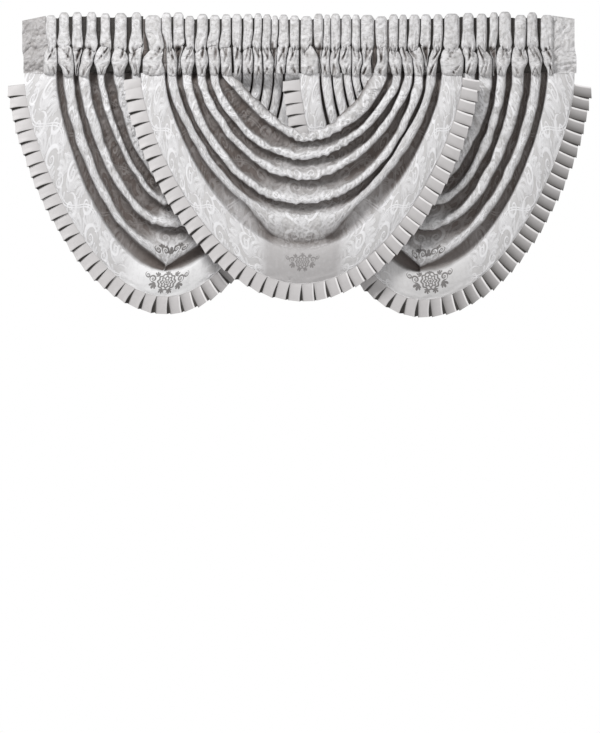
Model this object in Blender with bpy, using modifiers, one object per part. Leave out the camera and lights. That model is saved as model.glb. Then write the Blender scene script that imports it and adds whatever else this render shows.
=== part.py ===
# Waterfall valance: three damask swags on one hidden rod, woven so that the middle one hangs
# in front. Each swag is a flat outer band and five nested folds, hung from a gathered heading
# at each end, and its curved hem carries a knife-pleated satin ruffle.
# Metres, +Z up, front to -Y. The origin is on the rod's axis at mid span. Tables are in mm.

import bmesh
import bpy
import numpy as np

MM = 0.001

CLOTH = 2.0            # thickness of the damask and of the satin
SEW_GAP = 0.3          # sewn pieces stand this far apart

POCKET_HALF = 37.0     # the rod pocket reaches this far above and below the rod's axis
POCKET_SHOULDER = 24.0  # height over which the pocket stands open around the rod
CROWN_DROP = 16.0      # the frill's crown rounds off over this height
VALLEY_DIP = 9.0       # the frill is this much lower between two gathers

# half depth, front to back, of the heading at a gather's ridge, between gathers and at a flat end
HEADING_DEPTHS = {
    "pocket": (34.0, 21.0, 23.0),
    "pinch": (9.0, 4.5, 5.0),
    "frill": (18.0, 6.0, 8.0),
}

RAMP_LENGTH = 52.0     # below the pocket a swag comes to its own depth over this length
FOLD_DEPTH = 28.0      # from a fold's ridge back to the valley beside it
SEAM_FOLD = 0.35       # share of that depth at the pocket seam
SEAM_DROP = 8.0        # the swag hangs straight for this far below the seam
BAND_CROWN = 5.0       # the flat band stands forward of its hem by this
TIP_WIDTH = 0.34       # share of the half swag over which the lowest fold draws to its point

# The two lines along the floor of each valley: how far they lie from one fold to the next in
# the arms and at the bottom, where the upper fold overhangs, and their share of the depth.
VALLEY_LINES = (
    (0.26, 0.60, 0.85),
    (0.74, 0.86, 1.0),
)

RUFFLE_START = 26.0    # the ruffle begins this far below the start of the swag's curve
SWAG_STEPS = 24        # steps along the hem between the ruffle's two ends
PLEATS_PER_STEP = 2
RUFFLE_WIDTH = 55.0
RUFFLE_SPREAD = 3.0    # a pleat's folded edge is this much longer than its root
PLEAT_RISE = 6.0       # the folded edge stands forward by this at the outer edge
PLEAT_FACE = 0.86      # share of the pitch taken by a pleat's face

# One row for each fold, outermost first: where its outer and inner edges leave the pocket in
# the left and right arm, the height of its lower and upper edge at the bottom, the pointed drop
# in the middle, and how straight its left and right sides run (0 round, 1 straight).
FOLD_COLUMNS = (
    "leftOuter", "leftInner", "rightInner", "rightOuter", "lower", "upper", "tip",
    "straightLeft", "straightRight",
)
SWAGS = {
    "left": {
        "middle": -415.0,
        "depths": (-18.0, -12.0, 27.0),
        "folds": (
            (-854.0, -755.0, -46.5, -2.5, -729.0, -651.0, 0.0, 0.0, 0.0),
            (-734.0, -701.5, -79.0, -55.8, -592.0, -573.5, 42.0, 0.0, 0.1),
            (-686.7, -654.0, -111.6, -86.8, -514.6, -492.9, 0.0, 0.1, 0.1),
            (-627.4, -606.7, -144.2, -117.8, -446.4, -426.3, 0.0, 0.4, 0.2),
            (-577.2, -544.4, -176.7, -151.9, -381.3, -362.7, 0.0, 0.3, 0.3),
            (-520.8, -499.1, -206.8, -186.0, -328.6, -306.9, 0.0, 0.5, 0.5),
        ),
    },
    "centre": {
        "middle": 6.0,
        "depths": (-70.0, -70.0, -70.0),
        "folds": (
            (-490.0, -418.5, 439.6, 502.5, -689.8, -582.8, 0.0, 0.0, 0.0),
            (-410.8, -382.9, 392.2, 421.6, -511.5, -489.8, 48.0, 0.1, 0.1),
            (-364.3, -336.4, 355.0, 381.3, -438.7, -415.4, 0.0, -0.1, -0.1),
            (-317.8, -293.0, 324.0, 348.8, -365.8, -344.1, 0.0, 0.1, 0.1),
            (-277.5, -252.7, 288.3, 313.1, -302.3, -282.1, 0.0, 0.0, 0.1),
            (-241.8, -212.0, 226.3, 269.7, -251.1, -226.3, 0.0, 0.9, 0.1),
        ),
    },
    "right": {
        "middle": 372.0,
        "depths": (-18.0, -18.0, -18.0),
        "folds": (
            (3.1, 60.5, 767.6, 851.0, -737.8, -654.1, 0.0, 0.0, -0.1),
            (69.8, 96.1, 716.1, 747.1, -599.9, -581.3, 37.0, 0.1, -0.1),
            (105.4, 131.8, 657.2, 693.5, -520.8, -500.7, 0.0, 0.1, -0.2),
            (136.4, 156.6, 610.7, 638.6, -446.4, -426.3, 0.0, 0.2, -0.3),
            (161.2, 182.9, 554.0, 595.2, -384.4, -364.3, 0.0, 0.3, -0.3),
            (189.1, 220.1, 510.0, 542.5, -328.6, -306.9, 0.0, 0.5, -0.2),
        ),
    },
}

# Each arm's heading: the swag and side it carries, where it starts and ends along the rod, the
# width of an ungathered end (left of it if negative), and each gather's centre and top.
HEADINGS = {
    "heading_left_outer": {
        "swag": "left", "side": "left", "start": -861.0, "end": -496.5, "flat": -76.0,
        "gathers": ((-772, 143), (-732, 153), (-691, 152), (-650, 152), (-604, 149),
                    (-556, 149), (-513, 150)),
    },
    "heading_centre_left": {
        "swag": "centre", "side": "left", "start": -496.0, "end": -209.5, "flat": 0.0,
        "gathers": ((-466, 143), (-422, 152), (-379, 152), (-341, 140), (-304, 146),
                    (-267, 141), (-231, 144)),
    },
    "heading_left_inner": {
        "swag": "left", "side": "right", "start": -209.0, "end": -0.5, "flat": 0.0,
        "gathers": ((-195, 144), (-161, 146), (-132, 148), (-106, 146), (-78, 141),
                    (-50, 144), (-18, 140)),
    },
    "heading_right_inner": {
        "swag": "right", "side": "left", "start": 0.0, "end": 223.5, "flat": 0.0,
        "gathers": ((18, 140), (56, 147), (84, 144), (111, 147), (144, 143), (172, 143),
                    (206, 141)),
    },
    "heading_centre_right": {
        "swag": "centre", "side": "right", "start": 224.0, "end": 505.5, "flat": 0.0,
        "gathers": ((252, 138), (289, 144), (317, 146), (352, 144), (389, 146), (428, 147),
                    (468, 147)),
    },
    "heading_right_outer": {
        "swag": "right", "side": "right", "start": 506.0, "end": 858.0, "flat": 72.0,
        "gathers": ((522, 149), (565, 147), (600, 150), (635, 152), (676, 144), (720, 150),
                    (762, 143)),
    },
}

FINISHES = {
    "silver_damask": ((0.66, 0.65, 0.645), 0.55),
    "grey_satin": ((0.56, 0.545, 0.535), 0.42),
}


def clear_scene():
    for item in list(bpy.data.objects):
        bpy.data.objects.remove(item, do_unlink=True)


def make_material(name):
    colour, roughness = FINISHES[name]
    material = bpy.data.materials.new(name)
    material.use_nodes = True
    shader = material.node_tree.nodes["Principled BSDF"]
    shader.inputs["Base Color"].default_value = (*colour, 1.0)
    shader.inputs["Roughness"].default_value = roughness
    shader.inputs["Metallic"].default_value = 0.0
    return material


def smooth(value):
    value = np.clip(value, 0.0, 1.0)
    return value * value * (3.0 - 2.0 * value)


def blend(start, end, share):
    return start + share * (end - start)


def grid_sheet(name, points, finish, collection, closed=False):
    """Lay a grid over rows of points and give it the cloth's thickness behind its front."""
    rows, columns = points.shape[0], points.shape[1]
    bm = bmesh.new()
    bmesh.ops.create_grid(bm, x_segments=columns - 1, y_segments=rows - 1, size=0.5)
    for vert in bm.verts:
        column = round((vert.co.x + 0.5) * (columns - 1))
        row = round((vert.co.y + 0.5) * (rows - 1))
        vert.co = points[row, column] * MM
    if closed:
        bmesh.ops.remove_doubles(bm, verts=bm.verts[:], dist=0.00001)
    mesh = bpy.data.meshes.new(name)
    bm.to_mesh(mesh)
    bm.free()
    sheet = bpy.data.objects.new(name, mesh)
    collection.objects.link(sheet)
    mesh.materials.append(make_material(finish))
    mesh.shade_smooth()
    mesh.set_sharp_from_angle(angle=0.6)
    thicken = sheet.modifiers.new("cloth thickness", "SOLIDIFY")
    thicken.thickness = CLOTH * MM
    thicken.offset = -1.0
    thicken.use_even_offset = True
    return sheet


def rail_curve(left, right, middle, bottom, tip, straight):
    """A fold's edge from the left arm round the bottom to the right arm, finely sampled."""
    top = -POCKET_HALF - SEW_GAP - SEAM_DROP
    angle = np.linspace(-np.pi / 2, np.pi / 2, 401)
    across = np.sin(angle)
    reach = np.abs(across)
    round_rise = 0.5 * (1.0 - np.cos(angle)) + 0.5 * reach ** 2
    share = np.where(across < 0.0, straight[0], straight[1])
    rise = (1.0 - share) * round_rise + share * reach ** 1.35
    x = np.where(across < 0.0, middle + (middle - left) * across, middle + (right - middle) * across)
    z = bottom + (top - bottom) * rise - tip * np.clip(1.0 - reach / TIP_WIDTH, 0.0, 1.0)
    return x, z


def swag_rails(swag):
    """Edges across the swag from hem to top edge: ends, bottom, point, depth and crown."""
    rails = []
    folds = [dict(zip(FOLD_COLUMNS, row)) for row in swag["folds"]]
    for index, fold in enumerate(folds):
        straight = (fold["straightLeft"], fold["straightRight"])
        outer = (fold["leftOuter"], fold["rightOuter"], fold["lower"], fold["tip"])
        inner = (fold["leftInner"], fold["rightInner"], fold["upper"], 0.0)
        if index > 0:
            below = folds[index - 1]
            for arm_share, bottom_share, depth_share in VALLEY_LINES:
                left = blend(below["leftInner"], fold["leftOuter"], arm_share)
                right = blend(below["rightInner"], fold["rightOuter"], arm_share)
                bottom = blend(below["upper"], fold["lower"], bottom_share)
                tip = bottom_share * fold["tip"]
                rails.append((left, right, bottom, tip, straight, depth_share * FOLD_DEPTH))
        rails.append((*outer, straight, 0.0))
        if index == 0:
            middle_edge = [(a + b) / 2 for a, b in zip(outer, inner)]
            rails.append((*middle_edge, straight, -BAND_CROWN))
        rails.append((*inner, straight, 0.0))
    return rails


def swag_points(swag):
    """Rows run from the hem to the top edge, columns from the left arm to the right arm."""
    rows = []
    steps = None
    for left, right, bottom, tip, straight, depth in swag_rails(swag):
        x, z = rail_curve(left, right, swag["middle"], bottom, tip, straight)
        run = np.concatenate(([0.0], np.cumsum(np.hypot(np.diff(x), np.diff(z)))))
        if steps is None:
            start = RUFFLE_START / run[-1]
            steps = np.concatenate(([0.0], np.linspace(start, 1.0 - start, SWAG_STEPS + 1), [1.0]))
        along = steps * run[-1]
        column_x = np.interp(along, run, x)
        column_z = np.interp(along, run, z)
        ramp = smooth(np.minimum(along, run[-1] - along) / RAMP_LENGTH)
        level = np.interp(steps, (0.12, 0.5, 0.82), swag["depths"])
        y = level * ramp + depth * (SEAM_FOLD + (1.0 - SEAM_FOLD) * ramp)
        row = np.stack((column_x, y, column_z), axis=1)
        ends = row[[0, -1]] + np.array((0.0, 0.0, SEAM_DROP))
        rows.append(np.vstack((ends[:1], row, ends[1:])))
    return np.array(rows)


def outward_normals(line):
    """Unit directions away from the swag, in its own plane, at each point of its hem."""
    run = np.diff(line[:, [0, 2]], axis=0)
    run /= np.linalg.norm(run, axis=1, keepdims=True)
    tangent = np.vstack((run[:1], run[:-1] + run[1:], run[-1:]))
    tangent /= np.linalg.norm(tangent, axis=1, keepdims=True)
    return np.stack((tangent[:, 1], np.zeros(len(line)), -tangent[:, 0]), axis=1)


def ruffle_points(hem):
    """Knife pleats along the hem: each has a face and a short return behind the next one."""
    normals = outward_normals(hem)
    stations = []
    for step in range(len(hem) - 1):
        for pleat in range(PLEATS_PER_STEP):
            root = (step + pleat / PLEATS_PER_STEP, 0.0)
            fold = (step + (pleat + PLEAT_FACE) / PLEATS_PER_STEP, 1.0)
            stations += [root, fold]
    stations.append((len(hem) - 1, 0.0))
    place = np.array([station[0] for station in stations])
    folded = np.array([station[1] for station in stations])
    index = np.arange(len(hem))
    root_line = hem + SEW_GAP * 1.05 * normals
    inner = np.stack([np.interp(place, index, root_line[:, axis]) for axis in range(3)], axis=1)
    away = np.stack([np.interp(place, index, normals[:, axis]) for axis in range(3)], axis=1)
    outer = inner + away * (RUFFLE_WIDTH + RUFFLE_SPREAD * folded)[:, None]
    outer[:, 1] -= PLEAT_RISE * folded
    return np.array((outer, inner))


def heading_stations(heading):
    """Places along the rod with the share of a ridge there and the frill's height."""
    centres = [gather[0] for gather in heading["gathers"]]
    start = heading["start"] + max(0.0, -heading["flat"])
    end = heading["end"] - max(0.0, heading["flat"])
    edges = [start] + [(a + b) / 2 for a, b in zip(centres, centres[1:])] + [end]
    stations = []
    if heading["flat"] < 0.0:
        stations.append((heading["start"], "flat", heading["gathers"][0][1] - 10.0))
        stations.append((start - 6.0, "flat", heading["gathers"][0][1] - 8.0))
    for index, (centre, top) in enumerate(heading["gathers"]):
        width = edges[index + 1] - edges[index]
        stations.append((edges[index], "valley", top - VALLEY_DIP))
        stations.append((centre - 0.24 * width, "ridge", top))
        stations.append((centre + 0.24 * width, "ridge", top))
    stations.append((edges[-1], "valley", heading["gathers"][-1][1] - VALLEY_DIP))
    if heading["flat"] > 0.0:
        stations.append((end + 6.0, "flat", heading["gathers"][-1][1] - 8.0))
        stations.append((heading["end"], "flat", heading["gathers"][-1][1] - 10.0))
    return stations


def heading_points(heading, seam):
    """The cloth goes round the pocket, is pinched above it, and folds over as the frill."""
    order = np.argsort(seam[:, 0])
    rings = []
    for x, kind, top in heading_stations(heading):
        which = ("ridge", "valley", "flat").index(kind)
        pocket = HEADING_DEPTHS["pocket"][which]
        pinch = HEADING_DEPTHS["pinch"][which]
        frill = HEADING_DEPTHS["frill"][which]
        seam_y = np.interp(x, seam[order, 0], seam[order, 1])
        front = [(-pocket, -POCKET_SHOULDER), (-pocket, POCKET_SHOULDER), (-pinch, POCKET_HALF),
                 (-frill, top - CROWN_DROP)]
        back = [(-y, z) for y, z in reversed(front)]
        ring = [(seam_y, -POCKET_HALF)] + front + [(0.0, top)] + back + [(seam_y, -POCKET_HALF)]
        rings.append([(x, y, z) for y, z in ring])
    return np.array(rings).transpose(1, 0, 2)


def build_valance():
    clear_scene()
    collection = bpy.data.collections.new("waterfall_valance")
    bpy.context.scene.collection.children.link(collection)
    seams = {}
    for name, swag in SWAGS.items():
        points = swag_points(swag)
        grid_sheet(f"swag_{name}", points, "silver_damask", collection)
        grid_sheet(f"ruffle_{name}", ruffle_points(points[0, 2:-2]), "grey_satin", collection)
        seams[name, "left"] = points[:, 0]
        seams[name, "right"] = points[:, -1]
    for name, heading in HEADINGS.items():
        seam = seams[heading["swag"], heading["side"]]
        points = heading_points(heading, seam)
        grid_sheet(name, points, "silver_damask", collection, closed=True)


build_valance()
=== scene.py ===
import math

import bpy
import numpy as np
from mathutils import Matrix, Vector


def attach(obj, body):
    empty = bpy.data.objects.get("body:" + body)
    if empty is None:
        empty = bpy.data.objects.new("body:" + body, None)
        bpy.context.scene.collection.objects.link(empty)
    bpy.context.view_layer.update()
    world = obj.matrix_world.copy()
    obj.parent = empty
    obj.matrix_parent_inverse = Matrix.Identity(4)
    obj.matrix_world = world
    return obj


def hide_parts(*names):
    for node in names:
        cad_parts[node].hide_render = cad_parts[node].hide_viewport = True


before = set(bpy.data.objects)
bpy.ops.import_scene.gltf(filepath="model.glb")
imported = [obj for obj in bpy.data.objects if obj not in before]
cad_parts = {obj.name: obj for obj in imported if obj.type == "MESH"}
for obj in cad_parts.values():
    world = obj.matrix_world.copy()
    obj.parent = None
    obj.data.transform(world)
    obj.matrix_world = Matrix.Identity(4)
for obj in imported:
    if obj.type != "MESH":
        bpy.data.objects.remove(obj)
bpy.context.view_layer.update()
bpy.ops.object.select_all(action="DESELECT")
print("frame loaded")

mm = 0.001


# Helpers for shapes

def ease(value):
    value = np.clip(value, 0.0, 1.0)
    return value * value * (3.0 - 2.0 * value)


def mix(start, end, share):
    return start + share * (end - start)


def softNoise(rows, columns, rowCells, columnCells, seed, kinked=False):
    lattice = np.random.default_rng(seed).uniform(-1.0, 1.0, (rowCells + 2, columnCells + 2))
    row = np.linspace(0.0, rowCells, rows)
    column = np.linspace(0.0, columnCells, columns)
    row0, column0 = row.astype(int), column.astype(int)
    rowShare, columnShare = row - row0, column - column0
    if not kinked:
        rowShare, columnShare = ease(rowShare), ease(columnShare)
    rowShare, columnShare = rowShare[:, None], columnShare[None, :]
    lower = mix(lattice[row0][:, column0], lattice[row0][:, column0 + 1], columnShare)
    upper = mix(lattice[row0 + 1][:, column0], lattice[row0 + 1][:, column0 + 1], columnShare)
    return mix(lower, upper, rowShare)


def lineNoise(count, cells, seed, kinked=False):
    return softNoise(2, count, 1, cells, seed, kinked)[0]


def runAlong(line):
    steps = np.linalg.norm(np.diff(line, axis=0), axis=1)
    return np.concatenate(([0.0], np.cumsum(steps)))


def evenly(line, count):
    run = runAlong(line)
    along = np.linspace(0.0, run[-1], count)
    return np.stack([np.interp(along, run, line[:, axis]) for axis in range(line.shape[1])], axis=1)


def tangents(line):
    step = np.gradient(line, axis=0)
    return step / np.linalg.norm(step, axis=1, keepdims=True)


def sheetFromGrid(name, points, uv, shade, material, thickness, closed=False):
    rows, columns = points.shape[:2]
    bpy.ops.mesh.primitive_grid_add(x_subdivisions=columns - 1, y_subdivisions=rows - 1, size=1.0)
    sheet = bpy.context.object
    sheet.name = name
    mesh = sheet.data
    mesh.name = name
    place = np.zeros(len(mesh.vertices) * 3, np.float32)
    mesh.vertices.foreach_get("co", place)
    place = place.reshape(-1, 3)
    column = np.rint((place[:, 0] + 0.5) * (columns - 1)).astype(int)
    row = np.rint((place[:, 1] + 0.5) * (rows - 1)).astype(int)
    mesh.vertices.foreach_set("co", (points[row, column] * mm).astype(np.float32).ravel())
    corner = np.zeros(len(mesh.loops), np.int32)
    mesh.loops.foreach_get("vertex_index", corner)
    cornerUv = uv[row[corner], column[corner]] * mm
    mesh.uv_layers.active.data.foreach_set("uv", cornerUv.astype(np.float32).ravel())
    # each point's painted shade, which the materials darken the cloth by, in folds, creases and gaps
    attribute = mesh.attributes.new("shade", "FLOAT", "POINT")
    attribute.data.foreach_set("value", shade[row, column].astype(np.float32))
    mesh.materials.append(material)
    mesh.update()
    if closed:
        bpy.ops.object.mode_set(mode="EDIT")
        bpy.ops.mesh.select_all(action="SELECT")
        bpy.ops.mesh.remove_doubles(threshold=0.00001)
        bpy.ops.object.mode_set(mode="OBJECT")
    thicken = sheet.modifiers.new("thickness", "SOLIDIFY")
    thicken.thickness = thickness * mm
    thicken.offset = -1.0
    bpy.ops.object.modifier_apply(modifier=thicken.name)
    bpy.ops.object.shade_smooth_by_angle(angle=math.radians(50.0))
    bpy.ops.object.select_all(action="DESELECT")
    return sheet


# Swags

swagSettings = {
    "columns": 330,  # points along the U
    "rowsBetween": 2,  # rows from one line of the section to the next
    "lipRow": 29,  # the row along the lowest fold's lip, where the crest is placed from
    "thickness": 1.4,
    "seamTop": -37.3,  # where the arms meet the rod pocket
    "curveTop": -45.3,
    "rampLength": 52.0,  # the arms come forward from the pocket over this length
    "foldDepth": 38.0,
    "seamFold": 0.5,  # share of the fold's depth at the pocket
    "seamForward": 12.0,  # how far the folds stand forward there
    "kinks": 3.8,  # how far the folds' edges wander in the arms
    "kinkLengths": (55.0, 31.0),  # shared by a fold's two edges, and each edge's own
    "ripples": 3.6,  # and how far their lips ripple at the bottom
    "rippleLength": 13.0,
    "crumple": 3.1,
    "hemRipple": 2.2,  # how the band's edge puckers along its ruffle
    "hemRippleLength": 26.0,
    "tipFlatter": 0.42,  # share of the valley's depth that is lost beside the lowest point
    "tipHollow": 0.45,  # and how far the cloth at the point falls back
}

# Lines across a ridge and a valley: share of the way across in the arms and at the bottom, share
# of the fold's depth in the arms and at the bottom, and how much painted shade it has in the arms
# and at the bottom. A negative depth stands forward.
ridgeLines = (
    (0.00, 0.00, 0.42, 0.26, 0.60, 0.30),
    (0.03, 0.00, 0.08, 0.07, 0.10, 0.08),
    (0.25, 0.25, -0.02, -0.03, 0.0, 0.0),
    (0.50, 0.55, -0.05, -0.04, 0.0, 0.0),
    (0.75, 0.80, -0.02, 0.00, 0.0, 0.05),
    (0.97, 1.00, 0.08, 0.05, 0.10, 0.12),
    (1.00, 1.25, 0.42, 0.14, 0.60, 0.34),
)
valleyLines = (
    (0.11, 0.30, 0.90, 0.42, 1.0, 0.42),
    (0.50, 0.62, 1.00, 0.80, 1.0, 0.60),
    (0.89, 1.02, 0.92, 1.02, 1.0, 0.90),
)
# The valley beside the band, whose inner edge rolls back softly at the bottom.
bandValleyLines = (
    (0.11, 0.14, 0.90, 0.36, 1.0, 0.16),
    (0.50, 0.42, 1.00, 0.62, 1.0, 0.40),
    (0.89, 0.86, 0.92, 0.80, 1.0, 0.55),
)
# The flat band: share of the way across, and depth in mm in the arms and at the bottom.
bandLines = (
    (0.00, 3.0, 5.0),
    (0.07, 0.5, 3.0),
    (0.22, -1.5, -1.5),
    (0.40, -3.0, -6.5),
    (0.60, -3.5, -10.0),
    (0.80, -2.5, -10.0),
    (0.93, -0.5, -5.5),
    (0.99, 3.0, 0.0),
    (1.00, 14.0, 9.0),
)

# "tip" is how the lowest fold draws down at each side of its middle: share of the half width
# where it begins, and share that hangs level. "valleyShade" adds painted shade to the valley beside
# it, and a negative value takes some off; "tipFade" takes that painted shade off close to the point.
# "ruffleShade" is painted shade added on the ruffle. On "tightSide" the folds lie close together.
foldColumns = ("leftOuter", "leftInner", "rightInner", "rightOuter", "lower", "upper", "tip",
               "straightLeft", "straightRight")
swags = {
    "left": {
        "middle": -415.0, "levels": (-18.0, -12.0, 27.0), "seed": 11,
        "tip": ((0.30, 0.0), (0.36, 0.0)), "pouchPaintedShade": 0.25, "valleyShade": (0.15, 0.6),
        "tipFade": 0.1, "tightSide": 1,
        "ruffleStarts": (26.0, 14.0), "ruffleShade": 0.0,
        "folds": (
            (-854.0, -755.0, -46.5, -0.7, -729.0, -651.0, 0.0, 0.0, 0.0),
            (-734.0, -701.5, -80.0, -53.0, -592.0, -573.5, 42.0, 0.0, -0.1),
            (-686.7, -654.0, -112.0, -84.0, -514.6, -492.9, 0.0, 0.1, -0.2),
            (-627.4, -606.7, -145.0, -116.5, -446.4, -426.3, 0.0, 0.4, -0.2),
            (-577.2, -544.4, -178.0, -150.0, -381.3, -362.7, 0.0, 0.3, -0.2),
            (-520.8, -499.1, -208.0, -181.0, -328.6, -306.9, 0.0, 0.5, -0.1),
        ),
    },
    "centre": {
        "middle": 6.0, "levels": (-70.0, -70.0, -70.0), "seed": 23,
        "tip": ((0.44, 0.20), (0.42, 0.17)), "pouchPaintedShade": 0.55, "valleyShade": (-0.1, 0.0),
        "tipFade": 0.5, "tightSide": 0,
        "ruffleStarts": (26.0, 26.0), "ruffleShade": -0.14,
        "folds": (
            (-493.0, -418.5, 439.6, 502.5, -689.8, -582.8, 0.0, 0.0, 0.0),
            (-410.8, -382.9, 392.2, 421.6, -513.5, -492.8, 48.0, 0.1, 0.1),
            (-364.3, -336.4, 355.0, 381.3, -442.0, -420.4, 0.0, -0.1, -0.1),
            (-317.8, -293.0, 324.0, 348.8, -369.5, -349.1, 0.0, 0.1, 0.1),
            (-277.5, -252.7, 288.3, 313.1, -305.8, -286.6, 0.0, 0.0, 0.1),
            (-241.8, -212.0, 226.3, 269.7, -251.1, -226.3, 0.0, 0.9, 0.1),
        ),
    },
    "right": {
        "middle": 372.0, "levels": (-18.0, -18.0, -18.0), "seed": 37,
        "tip": ((0.30, 0.0), (0.48, 0.0)), "pouchPaintedShade": 0.25, "valleyShade": (0.6, 0.25),
        "tipFade": 0.2, "tightSide": -1,
        "ruffleStarts": (12.0, 26.0), "ruffleShade": 0.25,
        "folds": (
            (0.5, 60.5, 767.6, 851.0, -737.8, -654.1, 0.0, 0.0, -0.1),
            (66.0, 97.0, 716.1, 747.1, -599.9, -581.3, 37.0, 0.1, -0.1),
            (101.5, 132.0, 657.2, 693.5, -520.8, -500.7, 0.0, 0.1, -0.2),
            (135.0, 158.5, 610.7, 638.6, -446.4, -426.3, 0.0, 0.2, -0.3),
            (161.0, 184.5, 554.0, 595.2, -384.4, -364.3, 0.0, 0.3, -0.3),
            (187.5, 221.0, 510.0, 542.5, -328.6, -306.9, 0.0, 0.5, -0.2),
        ),
    },
}


def tipShare(across, tips):
    # 1 at the lowest fold's point, 0 beyond where it begins to draw down
    share = np.zeros_like(across)
    for side, (width, level) in zip((across < 0.0, across >= 0.0), tips):
        near = np.clip((width - np.abs(across)) / (width - level), 0.0, 1.0)
        share = np.where(side, near ** 2 if level == 0.0 else ease(near), share)
    return share


def railLine(left, right, middle, bottom, tip, tips, straight):
    # an edge of a fold, from the left arm round the bottom to the right arm
    angle = np.linspace(-np.pi / 2, np.pi / 2, 1201)
    across = np.sin(angle)
    reach = np.abs(across)
    roundRise = 0.5 * (1.0 - np.cos(angle)) + 0.5 * reach ** 2
    share = np.where(across < 0.0, straight[0], straight[1])
    rise = (1.0 - share) * roundRise + share * reach ** 1.35
    x = np.where(across < 0.0, middle + (middle - left) * across, middle + (right - middle) * across)
    z = mix(bottom, swagSettings["curveTop"], rise) - tip * tipShare(across, tips)
    top = swagSettings["seamTop"]
    return np.vstack(((x[0], top), np.stack((x, z), axis=1), (x[-1], top)))


def foldEdge(swag, fold, side, number):
    # one edge of a fold, evenly spaced and a little uneven, as worked cloth is
    settings = swagSettings
    outer = side == "Outer"
    line = railLine(fold["left" + side], fold["right" + side], swag["middle"],
                    fold["lower"] if outer else fold["upper"], fold["tip"] if outer else 0.0,
                    swag["tip"], (fold["straightLeft"], fold["straightRight"]))
    columns = settings["columns"]
    edge = evenly(line, columns)
    run = runAlong(edge)
    way = tangents(edge)
    seed = swag["seed"] * 100 + number * 2 + outer
    cells, ownCells = (int(run[-1] / length) for length in settings["kinkLengths"])
    shared = lineNoise(columns, cells, swag["seed"] * 100 + 50 + number, kinked=True)
    own = lineNoise(columns, ownCells, seed, kinked=True)
    wobble = 0.6 * shared + 0.7 * own
    wobble = np.convolve(np.pad(wobble, 2, "edge"), (0.1, 0.2, 0.4, 0.2, 0.1), "valid")
    level = 1.0 - ease((np.abs(way[:, 1]) - 0.35) / 0.5)
    ripple = lineNoise(columns, int(run[-1] / settings["rippleLength"]), seed + 900)
    tight = (1.0 - level) * (np.sign(edge[:, 0] - swag["middle"]) == swag["tightSide"])
    size = 0.0 if number == 0 and outer else 0.35 if number == 0 else 1.0 - 0.75 * tight
    calm = 0.4 if outer and fold["tip"] > 0.0 else 1.0
    shift = size * (settings["kinks"] * wobble * mix(1.0, 0.6 * calm, level)
                    + settings["ripples"] * ripple * level * calm)
    shift *= ease((np.minimum(run, run[-1] - run) - 10.0) / 40.0)
    out = np.stack((way[:, 1], -way[:, 0]), axis=1)
    return edge + out * shift[:, None], way


def swagSection(swag):
    # rows of (x, z), of depth and of shade, from the hem to the top edge
    settings = swagSettings
    folds = [dict(zip(foldColumns, row)) for row in swag["folds"]]
    lines, depths, shades = [], [], []

    def addLine(place, depth, shade):
        lines.append(place)
        depths.append(depth)
        shades.append(shade)

    lastInner = None
    for number, fold in enumerate(folds):
        outer, way = foldEdge(swag, fold, "Outer", number)
        inner = foldEdge(swag, fold, "Inner", number)[0]
        upright = ease((np.abs(way[:, 1]) - 0.15) / 0.6)  # 1 in the arms, 0 at the bottom
        offset = outer[:, 0] - swag["middle"]
        across = np.where(offset < 0.0, offset / (swag["middle"] - fold["leftOuter"]),
                          offset / (fold["rightOuter"] - swag["middle"]))
        drawn = tipShare(across, swag["tip"]) * (fold["tip"] > 0.0)
        if lastInner is not None:
            # painted shade in the valley: each side's own amount at the bottom, less close to the
            # point, and more where the lowest fold draws down
            side = np.where(across < 0.0, swag["valleyShade"][0], swag["valleyShade"][1])
            lighter = 1.0 - (number == 1) * swag["tipFade"] * ease((0.75 - np.abs(across)) / 0.35)
            for row in (bandValleyLines if number == 1 else valleyLines):
                arm, bottom, armDepth, bottomDepth, armShade, bottomShade = row
                share = mix(bottom, arm, upright)[:, None]
                extra = side * (1.0 - upright) * min(1.0, 1.3 * bottom) if number == 1 else 0.0
                depth = mix(bottomDepth * (1.0 - settings["tipFlatter"] * drawn), armDepth, upright)
                addLine(mix(lastInner, outer, share), depth * settings["foldDepth"],
                        (mix(bottomShade, armShade, upright) + extra) * lighter
                        + (0.12 + 0.3 * bottom) * drawn)
        if number == 0:
            for share, armDepth, bottomDepth in bandLines:
                addLine(mix(outer, inner, share), mix(bottomDepth, armDepth, upright), 0.0 * upright)
        else:
            last = number == len(folds) - 1
            for row in ridgeLines[:6 if last else 7]:
                arm, bottom, armDepth, bottomDepth, armShade, bottomShade = row
                share = mix(bottom, arm, upright)[:, None]
                fall = drawn * max(0.0, 1.0 - 1.2 * bottom)
                soft = drawn if bottom == 0.0 else 0.0  # the point merges into the valley
                depth = mix(bottomDepth * (1.0 - soft), armDepth, upright)
                depth += settings["tipHollow"] * fall
                # painted shade on the ridge, lighter where the lowest fold draws down and deeper
                # towards its point
                addLine(mix(outer, inner, share), depth * settings["foldDepth"],
                        mix(bottomShade, armShade, upright) * (1.0 - 0.7 * drawn)
                        + swag["pouchPaintedShade"] * fall ** 0.5)
            # a last line rolled back under the top edge, in painted shade
            if last:
                addLine(mix(outer, inner, mix(1.08, 1.35, upright)[:, None]),
                        mix(0.4, 0.7, upright) * settings["foldDepth"], mix(0.3, 0.9, upright))
        lastInner = inner
    return np.array(lines), np.array(depths), np.array(shades)


def refine(rows):
    # more rows between the section's lines, rounded off
    count = rows.shape[0]
    finer = (count - 1) * swagSettings["rowsBetween"] + 1
    at = np.linspace(0.0, count - 1.0, finer)
    low = np.minimum(at.astype(int), count - 2)
    share = (at - low).reshape((-1,) + (1,) * (rows.ndim - 1))
    rows = mix(rows[low], rows[low + 1], share)
    rows[1:-1] = 0.25 * rows[:-2] + 0.5 * rows[1:-1] + 0.25 * rows[2:]
    return rows


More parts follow.
